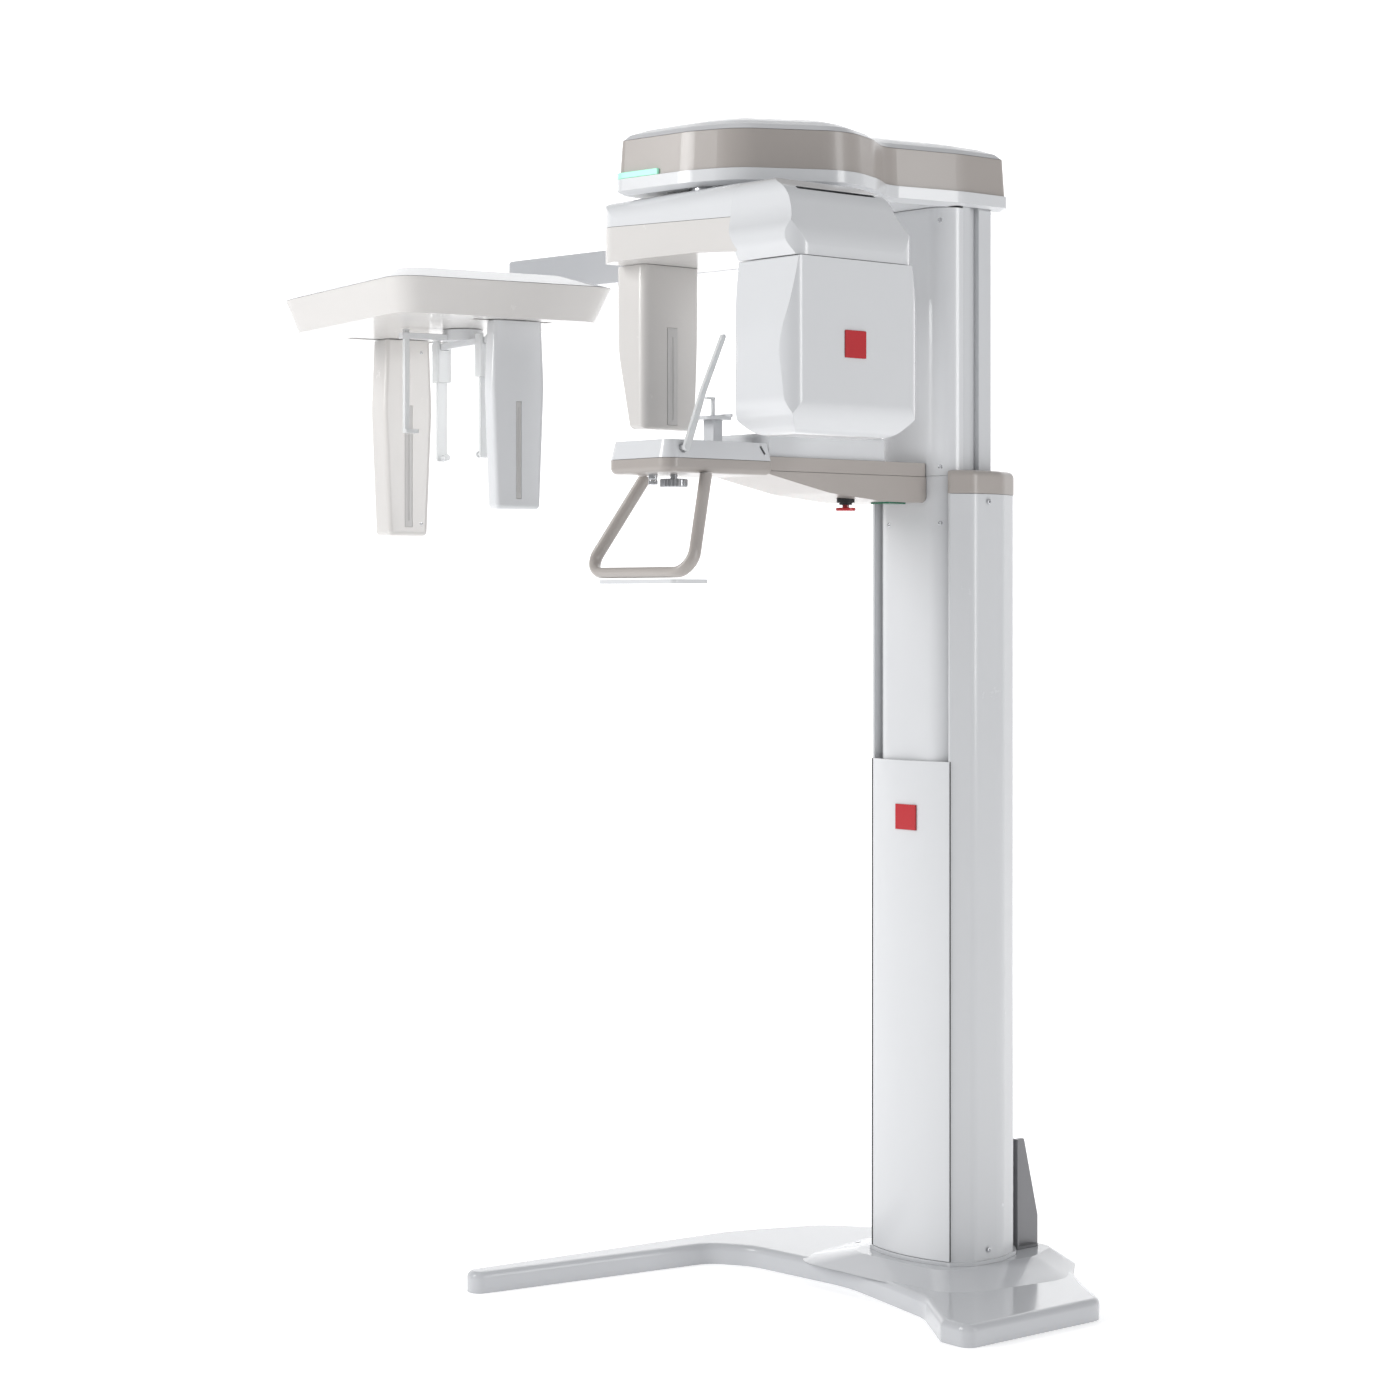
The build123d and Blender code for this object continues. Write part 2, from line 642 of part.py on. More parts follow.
def c_arm_shells():
    outer = c_arm_body(0) - c_arm_body(c_arm_wall)
    reach = spindle_radius + 3
    slot = block((axis_x - reach, axis_x + reach), (axis_y - reach, axis_y + cross_travel + reach),
                 (c_arm_top - 12, c_arm_top + 5))
    neck_hole = block((sensor_outer + 30, sensor_face - 12), (beam_y - 40, beam_y + 40), (c_arm_low - 5, c_arm_low + 8))
    upper = (outer & above_crease(c_arm_crease)) - slot
    lower = outer - above_crease(c_arm_crease - seam) - neck_hole
    return upper, lower


def sensor_housing():
    top = c_arm_low - seam
    front, back = beam_y - sensor_half_top, beam_y + sensor_half_top
    body = prism(sensor_low, top, [
        (sensor_outer, back, 18), (sensor_outer, front, 18), (sensor_face, front, 14), (sensor_face, back, 14)])
    body &= side_prism(sensor_outer - 1, sensor_face + 1, [
        (front - 1, top), (front - 1, sensor_low, 12), (beam_y + sensor_half_low - 9, sensor_low, 12), (back + 1, top)])
    body &= front_prism(front - 5, back + 5, [
        (sensor_outer, top), (sensor_outer + 5, 1735, 200), (sensor_outer + sensor_taper, sensor_low, 8),
        (sensor_face, sensor_low, 5), (sensor_face, top)])
    cavity = block((sensor_outer + sensor_taper + 5, sensor_face - shell), (front + 20, back - 24), (sensor_low + 8, top + 1))
    return body - cavity - sensor_recess()


def sensor_recess(gap=0.3):
    """Where the window plate sits in the sensor housing's face."""
    half = 11.5 + gap
    return block((sensor_face - 1.5, sensor_face + 1), (beam_y - half, beam_y + half), (1571 - gap, 1744 + gap))


def sensor_window():
    return sensor_recess(0) - block((sensor_face, sensor_face + 2), (beam_y - 1.5, beam_y + 1.5), (1580, 1728))


def tube_plan(inset):
    corner = tube_corner - inset
    low_x, high_x = tube_inner + inset, tube_outer - inset
    front, back = tube_front + inset, tube_back - inset
    return [(low_x, back, corner), (low_x, front, corner), (high_x, front, corner), (high_x, back, corner)]


def tubehead_cover():
    """The tube head's lower cover: rounded corners, sides bulging a little at mid height."""
    top = tube_top - swing_gap
    body = prism(tube_low, top, tube_plan(0))
    front, back = tube_front, tube_back
    bulged = side_prism(tube_inner - 5, tube_outer + 5, [
        (front + tube_neck, top, 4), (front, 1690, 300), (front + 6, tube_low + 40, 60), (front + 44, tube_low, 40),
        (back - 44, tube_low, 40), (back - 6, tube_low + 40, 60), (back, 1690, 300), (back - tube_neck, top, 4)])
    rounded = front_prism(front - 5, back + 5, [
        (tube_inner, top), (tube_inner, tube_low + 26, 30), (tube_inner + 26, tube_low, 30),
        (tube_outer - 30, tube_low, 36), (tube_outer, tube_low + 36, 50), (tube_outer, top)])
    body = body & bulged & rounded
    body -= prism(tube_low + 30, top - 4, tube_plan(16)) & block((0, 400), (front + 36, back - 36), (1500, 1900))
    body -= block((tube_inner - 1, tube_inner + 2), (beam_y - 14, beam_y + 14), (1548, 1700))
    body -= block((tube_inner - 1, tube_inner + 20), (beam_y - 2, beam_y + 2), (1558, 1690))
    return body - disc(trunnion_x, trunnion_y, top - 6, top + 1, trunnion_radius + 0.3)


def xray_tank():
    tank = block((tube_inner + 26, tube_outer - 22), (beam_y - 84, beam_y + 88), (1570, 1780))
    tank = fillet(tank.edges().filter_by(Axis.Z), 18)
    return tank + disc(trunnion_x, trunnion_y, 1779, tube_top + 12, trunnion_radius)


def tubehead_top_cover():
    """The fixed cover over the tube head: it closes the C-arm's bridge and tapers to its top."""
    inner, top = c_arm_right - 10, c_arm_top - 1
    front, back = tube_front + 6, tube_back - 6
    body = prism(tube_top, top, [(inner, back), (inner, front), (tube_outer - 2, front, 44), (tube_outer - 2, back, 44)])
    crown = front_prism(front - 5, back + 5, [
        *c_arm_end(seam), (tube_inner, c_arm_low - 14), (tube_inner, tube_top), (tube_outer, tube_top),
        (tube_outer - 4, 1862, 90), (tube_outer - 40, top - 24, 60), (tube_outer - 96, top, 60)])
    sides = side_prism(inner - 5, tube_outer + 5, [
        (tube_front + tube_neck, tube_top), (front, tube_top + 34, 40), (c_arm_front - 6, 1897, 90),
        (c_arm_front + 3, top, 34), (c_arm_back - 3, top, 34), (c_arm_back + 6, 1897, 90),
        (back, tube_top + 34, 40), (tube_back - tube_neck, tube_top)])
    body = body & crown & sides
    body -= block((c_arm_right + c_arm_flare + 8, tube_outer - 48), (front + 60, back - 60), (tube_top + 6, top - 18))
    return body - disc(trunnion_x, trunnion_y, tube_top - 1, tube_top + 14, trunnion_radius + running)


def tubehead_badge():
    badge = block((tube_outer, tube_outer + 2), (-545, -497), (1661, 1707))
    return fillet(badge.edges().filter_by(Axis.X), 2)


# ---- cephalometric unit ----
def ceph_boom():
    """The side boom from behind the moving column out to the hood."""
    start, end = (40.0, 52.0), (-1262.0, -54.0)
    yaw = degrees(atan2(end[1] - start[1], end[0] - start[0]))
    length = hypot(end[0] - start[0], end[1] - start[1])
    bar = block((0, length), (-24, 24), (boom_low, boom_top))
    bar = fillet(bar.edges().filter_by(Axis.Z), 20)
    bar = fillet(end_edges(bar), 6)
    bar = Location((start[0], start[1], 0), (0, 0, yaw)) * bar
    root = block((-62, 44), (moving_back, 40), (boom_low + 4, boom_top - 4))
    drop = ceph(block((330, 392), (-196, -150), (hood_rim + 4, boom_low + 12)))
    return bar + root + drop


def hood_face(scale, level):
    """The hood's outline drawn in towards its middle by a scale."""
    middle_x, middle_y = 290, 60
    rim = [(-56, -196, 60), (-56, 302, 60), (606, 286, 120), (640, -130, 70), (440, -200, 120)]
    corners = [
        (middle_x + (x - middle_x) * scale, middle_y + (y - middle_y) * scale, rounding * scale)
        for x, y, rounding in rim]
    return Pos(0, 0, level) * outline(corners)


def hood_lower():
    body = loft([hood_face(hood_flare, hood_low), hood_face(1, hood_rim)], ruled=True)
    body -= loft([hood_face(hood_flare - 0.01, hood_low + 4), hood_face(0.98, hood_rim + 0.5)], ruled=True)
    for distance, share in ((collimator_distance, scan_ratio), (sensor_distance, 1)):
        low, high = scan_low * share - neck_half_y - 3, scan_high * share + neck_half_y + 3
        body -= block((distance - neck_half_x - 2, distance + neck_half_x + 2), (low, high), (hood_low - 1, hood_low + 6))
    body -= disc(ear_distance, 0, hood_low - 1, hood_low + 6, 20 + running)
    return ceph(body)


def hood_upper():
    body = loft([hood_face(1, hood_rim + seam), hood_face(hood_crown, hood_top)], ruled=True)
    body -= loft([hood_face(0.98, hood_rim), hood_face(hood_crown - 0.02, hood_top - 5)], ruled=True)
    return ceph(body - block((328, 394), (-205, -148), (hood_rim + 2, 2000)))


def pillar(distance, thick, low_half, top_half, low):
    """A hanging pillar in the cephalometric frame, narrowing upwards, with a neck into the hood."""
    top = hood_low - 1.5
    body = side_prism(distance - thick / 2, distance + thick / 2, [
        (-low_half + 4, low, 10), (-top_half, (low + top) / 2 + 60, 400), (-top_half + 6, top), (top_half - 6, top),
        (top_half, (low + top) / 2 + 60, 400), (low_half - 4, low, 10)])
    body = fillet(body.edges().filter_by(lambda e: e.length > 150), 9)
    neck = block((distance - neck_half_x, distance + neck_half_x), (-neck_half_y, neck_half_y), (top - 1, hood_low + 30))
    return body + neck


def ceph_collimator():
    face = collimator_distance - 20
    body = pillar(collimator_distance, 40, 54, 60, collimator_low)
    slot = block((face - 1, face + 2), (-6, 6), (1463, 1659))
    return ceph(body - slot)


def ceph_sensor():
    face = sensor_distance - 35
    body = pillar(sensor_distance, 70, 50, 58, ceph_sensor_low)
    return ceph(body - block((face - 1, face + 1.5), (-9, 9), (1418, 1680)))


def ear_hub():
    low = hood_low - hub_height
    hub = disc(ear_distance, 0, low, hood_low - 1, 42) + disc(ear_distance, 0, hood_low - 2, hood_low + 18, 20)
    bar = block((ear_distance - 128, ear_distance + 128), (-9, 9), (low - 12, low + 1))
    nose = block((ear_distance - 10, ear_distance + 10), (30, 142), (low, low + 12))
    nose -= block((ear_distance - 6.3, ear_distance + 6.3), (124.7, 135.3), (low - 5, low + 20))
    return ceph(hub + bar + nose)


def ear_arm(side):
    """One ear rod: a clamp that slides on the hub's bar, a flat blade and the ear plug."""
    x = ear_distance + side * ear_spread
    low = hood_low - hub_height
    clamp = block((x - 14, x + 14), (-17, 17), (low - 80, low + 8))
    clamp = fillet(clamp.edges().filter_by(Axis.Z), 5)
    clamp -= block((x - 20, x + 20), (-9.4, 9.4), (low - 12.4, low + 20))
    blade = block((x - 4, x + 4), (-11, 11), (ear_level - 8, low - 70))
    blade = fillet(blade.edges().filter_by(Axis.X), 6)
    inner = x - side * 22
    plug = pin_x(min(inner, x), max(inner, x), 0, ear_level, 4.5)
    cone = pin_x(min(inner, inner - side * 6), max(inner, inner - side * 6), 0, ear_level, 7)
    return ceph(clamp + blade + plug + cone)


def nasion_rod():
    rod = block((ear_distance - 6, ear_distance + 6), (125, 135), (1610, hood_low - 4))
    tip = block((ear_distance - 9, ear_distance + 9), (104, 135), (1604, 1612))
    return ceph(rod + fillet(tip.edges().filter_by(Axis.Z), 4))


# ---- nodes ----
def build():
    parts["base_plate"] = floor_base()
    parts["fixed_column"] = fixed_column()
    parts["fixed_front_cover"] = fixed_front_cover()
    parts["column_cap"] = column_cap()
    parts["column_badge"] = column_badge()
    parts["gusset_brackets"] = group([gusset(-70), gusset(70)])
    parts["guide_rails"] = group([guide_rail(-rail_x), guide_rail(rail_x)])
    parts["lift_motor"] = lift_motor()
    parts["lift_screw"] = lift_screw()
    parts["power_inlet"] = power_inlet()
    parts["power_switch"] = power_switch()
    parts["moving_column"] = moving_column()
    middle = arm_seam + 2
    parts["moving_cover_lower"] = moving_cover(moving_low, middle - seam)
    parts["moving_cover_upper"] = moving_cover(middle, housing_low - seam)
    parts["lift_nut"] = lift_nut()
    parts["guide_blocks"] = guide_blocks()
    parts["arm_frame"] = arm_frame()
    parts["arm_lower_cover"] = arm_lower_cover()
    parts["arm_side_band"] = arm_side_band()
    parts["arm_console"] = arm_console()
    parts["lift_rocker"] = lift_rocker()
    parts["table_lower_shell"] = table_lower_shell()
    parts["table_upper_shell"] = table_upper_shell()
    parts["chin_rest"] = chin_rest()
    parts["bite_stick"] = bite_stick()
    parts["temple_rod_right"] = temple_rod(1, rod_lean)
    parts["temple_rod_left"] = temple_rod(-1, 90)
    parts["temple_knob"] = temple_knob()
    parts["handle_loop"] = handle_loop()
    parts["handle_plate"] = handle_plate()
    parts["stop_collar"] = stop_collar()
    parts["stop_button"] = stop_button()
    parts["arm_light"] = arm_light()
    parts["housing_rim"] = housing_rim()
    parts["housing_band"] = housing_band()
    parts["housing_roof"] = housing_roof()
    parts["status_light"] = status_light()
    parts["housing_frame"] = housing_frame()
    parts["slew_bearing"] = slew_bearing()
    parts["slew_motor"] = slew_motor()
    parts["slew_spindle"] = slew_spindle()
    parts["cross_rods"] = cross_rods()
    parts["c_arm_upper_shell"], parts["c_arm_lower_shell"] = c_arm_shells()
    parts["sensor_housing"] = sensor_housing()
    parts["sensor_window"] = sensor_window()
    parts["tubehead_cover"] = tubehead_cover()
    parts["xray_tank"] = xray_tank()
    parts["tubehead_top_cover"] = tubehead_top_cover()
    parts["tubehead_badge"] = tubehead_badge()
    parts["ceph_boom"] = ceph_boom()
    parts["hood_lower"] = hood_lower()
    parts["hood_upper"] = hood_upper()
    parts["ceph_collimator"] = ceph_collimator()
    parts["ceph_sensor"] = ceph_sensor()
    parts["ear_hub"] = ear_hub()
    parts["ear_arm_near"] = ear_arm(-1)
    parts["ear_arm_far"] = ear_arm(1)
    parts["nasion_rod"] = nasion_rod()


build()
for name, part in parts.items():
    export_step(part, f"parts/{name}.step")
print(len(parts), "nodes")
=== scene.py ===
import bpy
import json
import math
from mathutils import Matrix, Vector


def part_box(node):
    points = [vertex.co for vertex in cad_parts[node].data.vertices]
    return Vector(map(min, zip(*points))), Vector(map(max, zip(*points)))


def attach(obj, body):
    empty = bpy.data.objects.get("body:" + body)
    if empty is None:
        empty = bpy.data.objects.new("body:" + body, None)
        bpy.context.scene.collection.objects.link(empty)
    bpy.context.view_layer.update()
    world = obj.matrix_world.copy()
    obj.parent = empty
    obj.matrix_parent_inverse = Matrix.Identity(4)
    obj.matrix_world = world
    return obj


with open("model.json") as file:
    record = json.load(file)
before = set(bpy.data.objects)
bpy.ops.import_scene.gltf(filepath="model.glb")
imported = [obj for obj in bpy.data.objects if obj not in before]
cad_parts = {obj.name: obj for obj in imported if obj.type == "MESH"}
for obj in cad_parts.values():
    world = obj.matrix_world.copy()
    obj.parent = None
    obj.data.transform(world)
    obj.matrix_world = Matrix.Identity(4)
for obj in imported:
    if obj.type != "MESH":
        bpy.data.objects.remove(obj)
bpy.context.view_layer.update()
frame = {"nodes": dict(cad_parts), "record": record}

NODES = frame["nodes"]
SLOTS = {entry["node"]: entry["material_slot"] for entry in frame["record"]["subparts"]}


# ---- materials ----
def new_material(name):
    material = bpy.data.materials.new(name)
    material.use_nodes = True
    tree = material.node_tree
    return material, tree, tree.nodes["Principled BSDF"]


def add(tree, kind, **values):
    node = tree.nodes.new(kind)
    for key, value in values.items():
        if key in node.inputs:
            node.inputs[key].default_value = value
        else:
            setattr(node, key, value)
    return node


def spread(tree, source, low, high, from_low=0.3, from_high=0.7):
    node = add(tree, "ShaderNodeMapRange")
    node.inputs["From Min"].default_value = from_low
    node.inputs["From Max"].default_value = from_high
    node.inputs["To Min"].default_value = low
    node.inputs["To Max"].default_value = high
    tree.links.new(source, node.inputs["Value"])
    return node.outputs["Result"]


def mix(tree, factor, first, second, blend="MIX"):
    node = tree.nodes.new("ShaderNodeMix")
    node.data_type = "RGBA"
    node.blend_type = blend
    if isinstance(factor, float):
        node.inputs[0].default_value = factor
    else:
        tree.links.new(factor, node.inputs[0])
    for index, value in ((6, first), (7, second)):
        if isinstance(value, tuple):
            node.inputs[index].default_value = (*value, 1)
        else:
            tree.links.new(value, node.inputs[index])
    return node.outputs[2]


def finish_material(name, color, rough, grain, grain_depth, coat=0.0, coat_rough=0.1, metallic=0.0,
                    crevice_shade=0.12, drift=0.03, wear=0.06, edge=0.0012, brushed=None, specular=0.5):
    """A moulded, painted or machined surface: grain in the bump, cloudy colour and roughness, lighter worn
    edges and painted shade darkening its crevices and the gaps between parts."""
    material, tree, shader = new_material(name)
    links = tree.links
    place = add(tree, "ShaderNodeTexCoord").outputs["Object"]
    if brushed:
        stretch = add(tree, "ShaderNodeMapping")
        stretch.inputs["Scale"].default_value = brushed
        links.new(place, stretch.inputs["Vector"])
        place_grain = stretch.outputs["Vector"]
    else:
        place_grain = place
    cloud = add(tree, "ShaderNodeTexNoise", Scale=2.6, Detail=4.0, Roughness=0.55)
    fine = add(tree, "ShaderNodeTexNoise", Scale=grain, Detail=3.0, Roughness=0.6)
    smudge = add(tree, "ShaderNodeTexNoise", Scale=17.0, Detail=6.0, Roughness=0.7)
    links.new(place, cloud.inputs["Vector"])
    links.new(place_grain, fine.inputs["Vector"])
    links.new(place, smudge.inputs["Vector"])
    dark = tuple(c * (1 - drift) for c in color)
    light = tuple(min(1.0, c * (1 + drift)) for c in color)
    base = mix(tree, spread(tree, cloud.outputs["Fac"], 0, 1), dark, light)
    # Painted shade: ambient occlusion darkens the colour towards 0.28 of itself in crevices and between
    # parts, up to the given strength.
    crevice_occlusion = add(tree, "ShaderNodeAmbientOcclusion", Distance=0.018)
    crevice_occlusion.samples = 6
    painted_shade_mask = spread(tree, crevice_occlusion.outputs["AO"], crevice_shade, 0.0, 0.25, 0.8)
    shaded_base = mix(tree, painted_shade_mask, base, tuple(c * 0.28 for c in color))
    rounded = add(tree, "ShaderNodeBevel", Radius=edge)
    rounded.samples = 4
    geometry = add(tree, "ShaderNodeNewGeometry")
    turn = add(tree, "ShaderNodeVectorMath", operation="DOT_PRODUCT")
    links.new(rounded.outputs["Normal"], turn.inputs[0])
    links.new(geometry.outputs["Normal"], turn.inputs[1])
    edges = spread(tree, turn.outputs["Value"], wear, 0.0, 0.86, 0.995)
    worn = mix(tree, edges, shaded_base, tuple(min(1.0, c * 1.25 + 0.05) for c in color))
    links.new(worn, shader.inputs["Base Color"])
    links.new(spread(tree, smudge.outputs["Fac"], rough * 0.95, rough * 1.06), shader.inputs["Roughness"])
    bump = add(tree, "ShaderNodeBump", Strength=0.35, Distance=grain_depth)
    links.new(fine.outputs["Fac"], bump.inputs["Height"])
    links.new(rounded.outputs["Normal"], bump.inputs["Normal"])
    links.new(bump.outputs["Normal"], shader.inputs["Normal"])
    shader.inputs["Metallic"].default_value = metallic
    shader.inputs["Specular IOR Level"].default_value = specular
    shader.inputs["Coat Weight"].default_value = coat
    shader.inputs["Coat Roughness"].default_value = coat_rough
    return material


def lens_material(name, color, glow, strength, rough=0.25):
    """A light guide: a milky lens that glows unevenly along its length."""
    material = finish_material(name, color, rough, 220, 0.0002, coat=0.6)
    tree = material.node_tree
    shader = tree.nodes["Principled BSDF"]
    place = add(tree, "ShaderNodeTexCoord").outputs["Object"]
    ripple = add(tree, "ShaderNodeTexNoise", Scale=38.0, Detail=2.0)
    tree.links.new(place, ripple.inputs["Vector"])
    shader.inputs["Emission Color"].default_value = (*glow, 1)
    glow_strength = spread(tree, ripple.outputs["Fac"], strength * 0.8, strength * 1.15)
    tree.links.new(glow_strength, shader.inputs["Emission Strength"])
    return material


def clear_material(name, color, transmission, rough):
    """A clear moulded plastic, slightly scuffed."""
    material = finish_material(name, color, rough, 150, 0.0003, coat=0.3, crevice_shade=0.05, wear=0.3)
    shader = material.node_tree.nodes["Principled BSDF"]
    shader.inputs["Transmission Weight"].default_value = transmission
    shader.inputs["IOR"].default_value = 1.49
    return material


MATERIALS = {
    "white_paint": finish_material("white_paint_finish", (0.58, 0.59, 0.61), 0.14, 420, 0.00025, coat=0.2,
                                   coat_rough=0.05, drift=0.012, specular=0.3),
    "white_alloy": finish_material("white_alloy_finish", (0.68, 0.69, 0.705), 0.26, 620, 0.0003, coat=0.4,
                                   coat_rough=0.12, drift=0.012, brushed=(1.0, 1.0, 0.2)),
    "white_gloss": finish_material("white_gloss_finish", (0.74, 0.75, 0.765), 0.22, 520, 0.0002, coat=0.5,
                                   coat_rough=0.08, drift=0.012),
    "warm_white": finish_material("warm_white_finish", (0.70, 0.68, 0.66), 0.26, 620, 0.0003, coat=0.4,
                                  coat_rough=0.1, drift=0.015),
    "taupe": finish_material("taupe_finish", (0.43, 0.395, 0.37), 0.30, 900, 0.0005, coat=0.3,
                             coat_rough=0.16, drift=0.03, wear=0.1),
    "roof_grey": finish_material("roof_grey_finish", (0.66, 0.665, 0.68), 0.30, 800, 0.0004, coat=0.3,
                                 drift=0.02),
    "grey_metal": finish_material("grey_metal_finish", (0.26, 0.26, 0.27), 0.34, 500, 0.0005, metallic=0.5,
                                  drift=0.05),
    "red_gloss": finish_material("red_gloss_finish", (0.52, 0.010, 0.018), 0.25, 300, 0.0002, coat=0.6,
                                 drift=0.06),
    "black_plastic": finish_material("black_plastic_finish", (0.018, 0.018, 0.02), 0.45, 900, 0.0006,
                                     drift=0.1),
    "steel": finish_material("steel_finish", (0.50, 0.51, 0.53), 0.30, 260, 0.0004, metallic=1.0, drift=0.05,
                             brushed=(1.0, 1.0, 0.05)),
    "bronze": finish_material("bronze_finish", (0.62, 0.42, 0.18), 0.32, 300, 0.0004, metallic=1.0,
                              drift=0.08),
    "cast_alloy": finish_material("cast_alloy_finish", (0.66, 0.67, 0.69), 0.34, 700, 0.0005, metallic=0.35,
                                  drift=0.04),
    "mint_lens": lens_material("mint_lens_finish", (0.40, 0.80, 0.62), (0.30, 0.85, 0.58), 0.45),
    "green_lens": lens_material("green_lens_finish", (0.02, 0.10, 0.06), (0.02, 0.22, 0.11), 0.2),
    "clear_plastic": clear_material("clear_plastic_finish", (0.86, 0.875, 0.88), 0.22, 0.2),
    "window_pale": finish_material("window_pale_finish", (0.60, 0.59, 0.58), 0.34, 900, 0.0003, drift=0.03),
}
# Near-black finish for strips painted where a gap between covers lies in shade.
GAP_SHADE_BLACK = finish_material("gap_shade_finish", (0.006, 0.006, 0.007), 0.7, 300, 0.001, drift=0.2, crevice_shade=0.3)
CHROME = finish_material("chrome_finish", (0.72, 0.73, 0.75), 0.14, 500, 0.0001, metallic=1.0, drift=0.03,
                         brushed=(1.0, 1.0, 0.08))

for node, obj in NODES.items():
    material = MATERIALS[SLOTS[node]]
    if not obj.material_slots:
        obj.data.materials.append(material)
    for slot in obj.material_slots:
        slot.material = material


# ---- pieces ----
def piece(name, verts, faces, material, body, smooth=True, bevel=0.0, matrix=None):
    """A mesh that rides on a body, with its edges rounded if asked."""
    mesh = bpy.data.meshes.new(name)
    mesh.from_pydata([tuple(v) for v in verts], [], faces)
    mesh.update()
    obj = bpy.data.objects.new(name, mesh)
    bpy.context.scene.collection.objects.link(obj)
    if matrix is not None:
        mesh.transform(matrix)
    mesh.materials.append(material)
    if smooth:
        mesh.shade_smooth()
    if bevel:
        modifier = obj.modifiers.new("edges", "BEVEL")
        modifier.width = bevel
        modifier.segments = 3
        modifier.limit_method = "ANGLE"
        modifier.harden_normals = True
    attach(obj, body)
    return obj


def lathe(name, profile, material, body, matrix, steps=48):
    """Turns a (radius, height) profile about Z and closes both ends with a flat disc."""
    verts, faces = [], []
    for radius, height in profile:
        for i in range(steps):
            angle = 2 * math.pi * i / steps
            verts.append((radius * math.cos(angle), radius * math.sin(angle), height))
    for ring in range(len(profile) - 1):
        for i in range(steps):
            j = (i + 1) % steps
            faces.append((ring * steps + i, ring * steps + j, (ring + 1) * steps + j, (ring + 1) * steps + i))
    faces.append(tuple(range(steps))[::-1])
    faces.append(tuple((len(profile) - 1) * steps + i for i in range(steps)))
    obj = piece(name, verts, faces, material, body, matrix=matrix)
    obj.data.shade_smooth()
    modifier = obj.modifiers.new("edges", "BEVEL")
    modifier.width = min(r for r, _ in profile if r > 0) * 0.08
    modifier.segments = 2
    modifier.limit_method = "ANGLE"
    modifier.harden_normals = True
    return obj


def facing(position, outward):
    """A matrix that puts +Z along outward at a position."""
    turn = Vector((0, 0, 1)).rotation_difference(Vector(outward)).to_matrix().to_4x4()
    return Matrix.Translation(position) @ turn


# ---- small fittings ----
def screw(name, position, outward, radius, body):
    """A domed screw head with a round socket, sunk a little into the surface."""
    profile = [(radius, -0.0012), (radius, 0.0003), (radius * 0.86, 0.0009), (radius * 0.5, 0.0011),
               (radius * 0.46, 0.0009), (radius * 0.42, -0.0009)]
    return lathe(name, profile, CHROME, body, facing(position, outward), steps=24)


def panel(name, low, high, material, body, matrix=None, groove=None):
    """A plate between two corners with softened edges and, if asked, a groove along its outer face."""
    (x0, y0, z0), (x1, y1, z1) = low, high
    verts = [(x, y, z) for x in (x0, x1) for y in (y0, y1) for z in (z0, z1)]
    faces = [(0, 1, 3, 2), (4, 6, 7, 5), (0, 4, 5, 1), (2, 3, 7, 6), (0, 2, 6, 4), (1, 5, 7, 3)]
    if groove:
        half, depth, margin = groove
        middle = (y0 + y1) / 2
        start = len(verts)
        verts += [(x1, middle - half, z0 + margin), (x1, middle + half, z0 + margin),
                  (x1, middle + half, z1 - margin), (x1, middle - half, z1 - margin)]
        verts += [(x1 - depth, v[1], v[2]) for v in verts[start:]]
        faces.remove((4, 6, 7, 5))
        a, b, c, d = start, start + 1, start + 2, start + 3
        faces += [(4, 6, b, a), (6, 7, c, b), (7, 5, d, c), (5, 4, a, d),
                  (a, b, b + 4, a + 4), (b, c, c + 4, b + 4), (c, d, d + 4, c + 4), (d, a, a + 4, d + 4),
                  (a + 4, b + 4, c + 4, d + 4)]
    return piece(name, verts, faces, material, body, smooth=False, bevel=0.0004, matrix=matrix)


for number, (x, y, z, nx, ny, body) in enumerate((
        (-0.0494, -0.1150, 1.3970, 0, -1, "lift"), (0.0740, -0.1062, 1.3980, 0.588, -0.809, "lift"),
        (0.0740, -0.1062, 1.4996, 0.588, -0.809, "lift"), (0.0740, -0.1062, 1.9460, 0.588, -0.809, "lift"))):
    screw(f"cover_screw_{number}", (x, y, z), (nx, ny, 0), 0.0042, body)
screw_sink = 0.0012
column_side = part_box("fixed_column")[1][0]
for number, z in enumerate((1.4375, 0.083)):
    screw(f"column_screw_{number}", (column_side - screw_sink, -0.036, z), (1, 0, 0), 0.0046, "stand")
    screw(f"column_screw_far_{number}", (-column_side + screw_sink, -0.036, z), (-1, 0, 0), 0.0046, "stand")

# The cephalometric unit's own frame, and the half turn that points a panel's outer face back along the beam.
CEPH = Matrix.Translation((-0.884, -0.320, 0)) @ Matrix.Rotation(math.radians(170), 4, "Z")
TURN = Matrix.Rotation(math.radians(180), 4, "Z")
panel("collimator_strip", (-0.0190, -0.0055, 1.4635), (-0.0175, 0.0055, 1.6585), MATERIALS["window_pale"],
      "ceph_collimator", CEPH @ TURN, groove=(0.0012, 0.0008, 0.012))
panel("ceph_sensor_strip", (-0.5314, -0.0085, 1.4185), (-0.5303, 0.0085, 1.6795), MATERIALS["window_pale"],
      "ceph_sensor", CEPH @ TURN, groove=(0.0015, 0.0008, 0.014))
for number, z in enumerate((1.425, 1.795)):
    place = CEPH @ Vector((0.530, -0.030, z))
    screw(f"ceph_sensor_screw_{number}", place, CEPH.to_3x3() @ Vector((-1, 0, 0)), 0.0036, "ceph_sensor")

table_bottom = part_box("table_lower_shell")[0][2]
post_profile = [(0.0074, -0.0185), (0.0080, -0.0175), (0.0080, -0.0110), (0.0072, -0.0105), (0.0072, -0.0090),
                (0.0080, -0.0085), (0.0080, 0.0008)]
lathe("rod_lock_post", post_profile, CHROME, "lift",
      Matrix.Translation((-0.025, -0.702, table_bottom)))

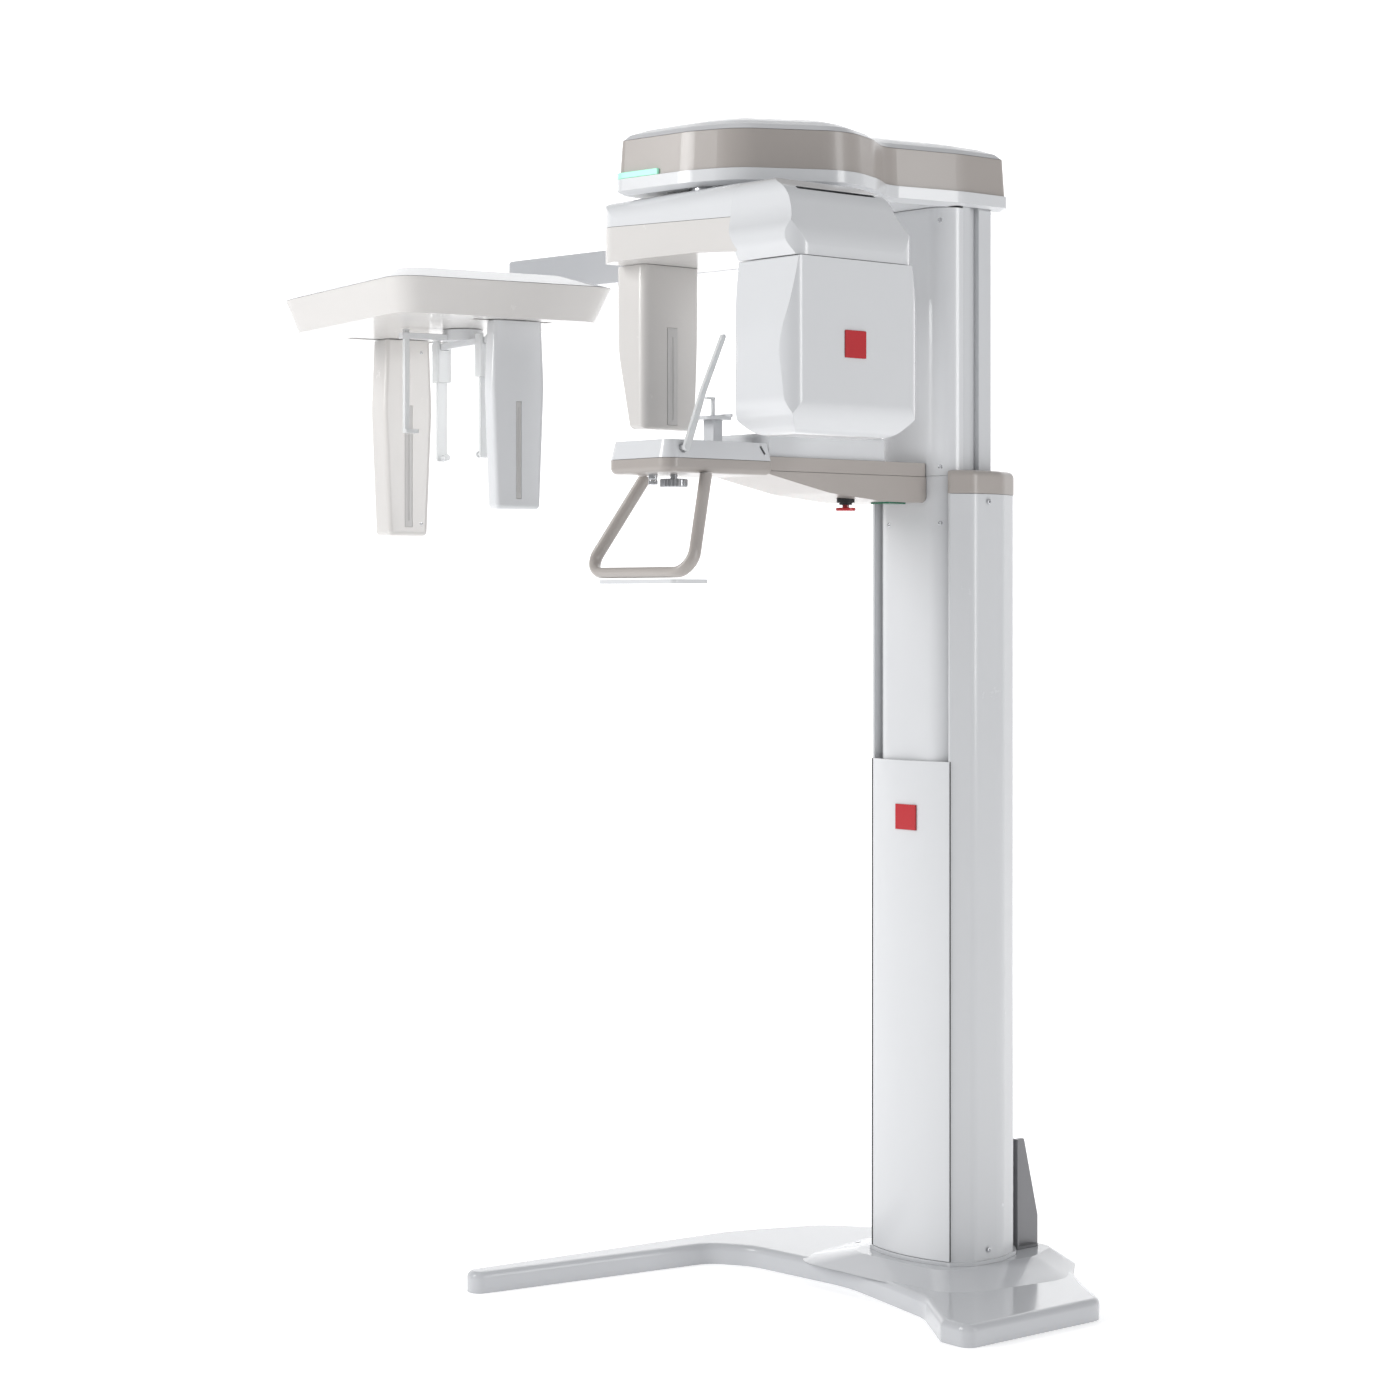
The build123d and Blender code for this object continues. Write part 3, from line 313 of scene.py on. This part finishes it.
cover_low, cover_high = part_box("fixed_front_cover")
# Painted shade: a thin near-black strip along each side edge of the front cover stands for the shaded gap
# there.
for number, side in enumerate((-1, 1)):
    edge = side * (cover_high[0] + 0.0004)
    panel(f"cover_gap_shade_{number}", (min(edge, edge + side * 0.0012), cover_high[1] - 0.0012, cover_low[2]),
          (max(edge, edge + side * 0.0012), cover_high[1] + 0.0006, cover_high[2]), GAP_SHADE_BLACK, "stand")

# ---- camera, floor and light ----
scene = bpy.context.scene
camera_data = bpy.data.cameras.new("camera")
camera_data.sensor_width = 36.0
camera_data.lens = 77.14
camera_data.shift_y = -95 / 1400
camera_data.clip_end = 60.0
camera = bpy.data.objects.new("camera", camera_data)
camera.location = (3.886, -3.992, 1.250)
camera.rotation_euler = (math.radians(90), 0, math.radians(49.03))
scene.collection.objects.link(camera)
scene.camera = camera

floor_material, _, floor_shader = new_material("floor_finish")
floor_shader.inputs["Base Color"].default_value = (0.86, 0.86, 0.865, 1)
floor_shader.inputs["Roughness"].default_value = 0.6
floor_shader.inputs["Emission Color"].default_value = (1.0, 1.0, 1.0, 1)
floor_shader.inputs["Emission Strength"].default_value = 0.42
profile = [(-9.0, 0.0), (5.5, 0.0)]
for k in range(1, 13):
    angle = math.radians(7.5 * k)
    profile.append((5.5 + 3.0 * math.sin(angle), 3.0 - 3.0 * math.cos(angle)))
profile.append((8.5, 9.0))
ahead = Vector((-0.755, 0.656, 0))
aside = Vector((0.656, 0.755, 0))
verts = []
for distance, height in profile:
    for side in (-14, 14):
        verts.append(ahead * distance + aside * side + Vector((0, 0, height)))
faces = [(2 * i, 2 * i + 1, 2 * i + 3, 2 * i + 2) for i in range(len(profile) - 1)]
mesh = bpy.data.meshes.new("floor")
mesh.from_pydata([tuple(v) for v in verts], [], faces)
mesh.shade_smooth()
mesh.materials.append(floor_material)
floor = bpy.data.objects.new("floor", mesh)
scene.collection.objects.link(floor)


def area_light(name, location, target, size, power):
    data = bpy.data.lights.new(name, "AREA")
    data.shape = "RECTANGLE"
    data.size, data.size_y = size
    data.energy = power
    light = bpy.data.objects.new(name, data)
    light.location = location
    light.rotation_euler = (Vector(target) - Vector(location)).to_track_quat("-Z", "Y").to_euler()
    scene.collection.objects.link(light)


area_light("key", (-2.2, -5.4, 3.6), (-0.3, -0.2, 1.3), (2.2, 2.8), 185)
area_light("side", (4.4, 1.4, 2.4), (0.0, -0.2, 1.3), (1.2, 3.2), 60)
area_light("top", (-0.3, -0.8, 5.0), (-0.3, -0.4, 0.0), (2.6, 2.6), 12)
area_light("back", (-2.5, 3.5, 4.5), (-4.5, 5.0, 1.5), (5.0, 3.0), 200)

world = bpy.data.worlds.new("studio")
scene.world = world
world.use_nodes = True
world.node_tree.nodes["Background"].inputs["Color"].default_value = (0.97, 0.98, 1.0, 1)
world.node_tree.nodes["Background"].inputs["Strength"].default_value = 0.33
scene.view_settings.view_transform = "Standard"
scene.view_settings.look = "None"
